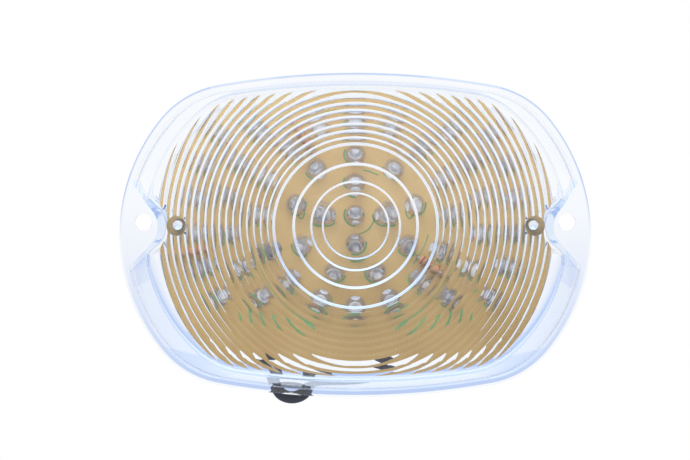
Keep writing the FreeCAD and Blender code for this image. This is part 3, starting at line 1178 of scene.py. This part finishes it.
@dataclass
class Cable:
    """Black cable: points of its route in mm, drawn lying on the back."""

    diameter: float = 4.0
    lead: tuple[Point, ...] = (
        (2, -6, 4.6), (2, -17, 4.6), (8.5, -29, 4.2), (9.5, -40, 1.8), (2, -46, -1), (-14.5, -46.6, -2.4),
        (-15, -54, -2.4), (-20, -56.2, -2.4), (-25, -54, -2.4), (-25.6, -44.5, -2.2), (-25.2, -34, -1.7),
        (-24, -25, -1.2), (-24, -17.2, -1.2),
    )
    crossing: tuple[Point, ...] = ((18.5, 15.3, -4.8),)
    tail: tuple[Point, ...] = ((25.42, 11.33, -2.0), (32.35, 7.33, -1.2), (36, 0.8, -1.2), (36, -6, -1.2))

    # Coil: its middle, the outer turn's radius past it, and how the inner end passes out over the turn
    coil_r: float = 22.0
    coil_y: float = -1.7
    coil_z: float = -1.2
    outer_turn: float = 2.2
    turn_gap: float = 4.2
    coil_start: float = 180.0
    coil_end: float = -270.0
    coil_step: float = 30.0
    coil_dip: float = 1.2
    over: tuple[Point, ...] = ((-285.0, 22.3, -4.4), (-300.0, 24.3, -5.4))
    steps: int = 10
    round_steps: int = 6

    def turns(self) -> np.ndarray:
        """One and a third turns, clockwise, whose inner end passes out over the outer turn.

        The radius falls evenly by one gap over half a turn.

        Returns:
            Array (n, 3) of route points.
        """
        a = np.arange(self.coil_start, self.coil_end - 1, -self.coil_step)
        r = self.coil_r + self.outer_turn - self.turn_gap * np.clip(-a / 180.0, 0, 1)
        z = np.full(len(a), self.coil_z)
        z[-1] -= self.coil_dip
        a, r, z = np.concatenate([np.column_stack([a, r, z]), self.over]).T
        a = np.radians(a)
        return np.stack([r * np.cos(a), self.coil_y + r * np.sin(a), z], -1)

    def build(self) -> Piece:
        """One smooth line through the whole route, with a round section.

        Returns:
            The curve object.
        """
        way = upright(np.concatenate([self.lead, self.turns(), self.crossing, self.tail]))
        data = bpy.data.curves.new("cable", "CURVE")
        data.dimensions = "3D"
        line = data.splines.new("NURBS")
        line.points.add(len(way) - 1)
        line.points.foreach_set("co", np.column_stack([way, np.ones(len(way))]).ravel())
        line.order_u = 3
        line.use_endpoint_u = True
        line.resolution_u = self.steps
        data.bevel_depth = self.diameter / 2 * MM
        data.bevel_resolution = self.round_steps
        data.use_fill_caps = True
        cable = dress(link(bpy.data.objects.new("cable", data)), CABLE_SHEATH)
        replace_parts(cable, "cable_lead", "cable_coil", "cable_tail")
        return cable


@dataclass(frozen=True)
class Studio:
    """Floor, light and camera, in mm; the world's bands are parts of a unit direction."""

    focal: float = 113.0
    sensor: float = 36.0
    distance: float = 682.0
    elevation: float = 2.4
    aim: Pair = (-3.2, -2.5)
    clip_end: float = 50000.0
    floor_z: float = -250.0
    floor_half: float = 1000.0
    low_tone: Colour = (0.42, 0.50, 0.68)
    low_band: Pair = (-0.7, 0.15)
    beyond_tone: Colour = (0.46, 0.59, 0.90)
    beyond_band: Pair = (-0.14, -0.02)
    beyond_start: Pair = (0.15, 0.6)
    lamps: tuple[tuple[str, Point, float, float], ...] = (
        ("key", (-60.0, -150.0, 240.0), 320.0, 1.75), ("fill", (450.0, -600.0, 350.0), 500.0, 1.0),
    )

    def world(self) -> None:
        """White to the camera; to other rays white overhead, and pale blue low down and low behind."""
        world = bpy.data.worlds.new("studio")
        world.use_nodes = True
        bpy.context.scene.world = world
        n = Nodes(world.node_tree)
        _, y, z = n.split(n.make("ShaderNodeTexCoord", {}, {}, "Generated"))
        tone = n.mix(1.0 - z.step(*self.low_band), WHITE, self.low_tone)
        beyond = n.mix(1.0 - z.step(*self.beyond_band), WHITE, self.beyond_tone)
        colour = n.mix(1.0 - y.step(*self.beyond_start), beyond, tone)
        shown = n.mix(n.light_path("Is Camera Ray"), colour, WHITE)
        back = n.add("ShaderNodeBackground", {}, {"Color": shown, "Strength": 1.0})
        n.finish(back, "ShaderNodeOutputWorld")
        world.cycles.sampling_method = "NONE"

    def floor(self) -> None:
        """Plain pale floor well below the lens."""
        half, z = self.floor_half, self.floor_z
        points = np.array([(-half, -half, z), (half, -half, z), (half, half, z), (-half, half, z)]) * MM
        dress(mesh_object("floor", points, [[0, 1, 2, 3]]), FloorPaint())

    def camera(self) -> None:
        """Camera a little above the middle of the lens."""
        data = bpy.data.cameras.new("camera")
        data.lens = self.focal
        data.sensor_width = self.sensor
        data.clip_end = self.clip_end * MM
        camera = link(bpy.data.objects.new("camera", data))
        tilt = math.radians(self.elevation)
        aim = Vector((self.aim[0], 0.0, self.aim[1])) * MM
        way = Vector((0.0, -math.cos(tilt), math.sin(tilt)))
        turn = way.to_track_quat("Z", "Y").to_matrix().to_4x4()
        camera.matrix_world = Matrix.Translation(aim + way * self.distance * MM) @ turn
        bpy.context.scene.camera = camera

    def lamp(self, name: str, place: Point, size: float, watts: float) -> None:
        """One soft square lamp that faces the origin and isn't seen in the lens.

        Args:
            name: the lamp's name.
            place: where it stands, in mm of the row frame.
            size: its side in mm.
            watts: its power.
        """
        data = bpy.data.lights.new(name, "AREA")
        data.size = size * MM
        data.energy = watts
        lamp = link(bpy.data.objects.new(name, data))
        lamp.visible_glossy = False
        lamp.visible_transmission = False
        spot = Vector(place) * MM
        lamp.matrix_world = Matrix.Translation(spot) @ spot.to_track_quat("Z", "Y").to_matrix().to_4x4()

    def build(self) -> None:
        """Everything round the brake light."""
        self.world()
        self.floor()
        self.camera()
        for lamp in self.lamps:
            self.lamp(*lamp)


def main() -> None:
    """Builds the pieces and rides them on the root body."""
    logging.basicConfig(level=logging.INFO, format="%(message)s")
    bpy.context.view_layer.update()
    scene = bpy.context.scene
    scene.view_settings.view_transform = "Standard"
    scene.cycles.max_bounces = LENS_BOUNCES
    scene.cycles.transmission_bounces = LENS_BOUNCES
    scene.cycles.glossy_bounces = GLOSSY_BOUNCES
    lens = Lens().build()
    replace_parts(lens, "lens")
    leds = Leds().build()
    work = BoardWork().build()
    cable = Cable().build()
    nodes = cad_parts
    for name, finish in NODE_FINISHES.items():
        dress(nodes[name], finish)
        LOG.info("node %s", name)
    for piece in [lens, cable, *leds, *work]:
        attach(piece, "root")
        LOG.info("piece %s", piece.name)
    tuple(upright(np.array((2, -6, 4.6))))
    Studio().build()


if __name__ == "__main__":
    main()
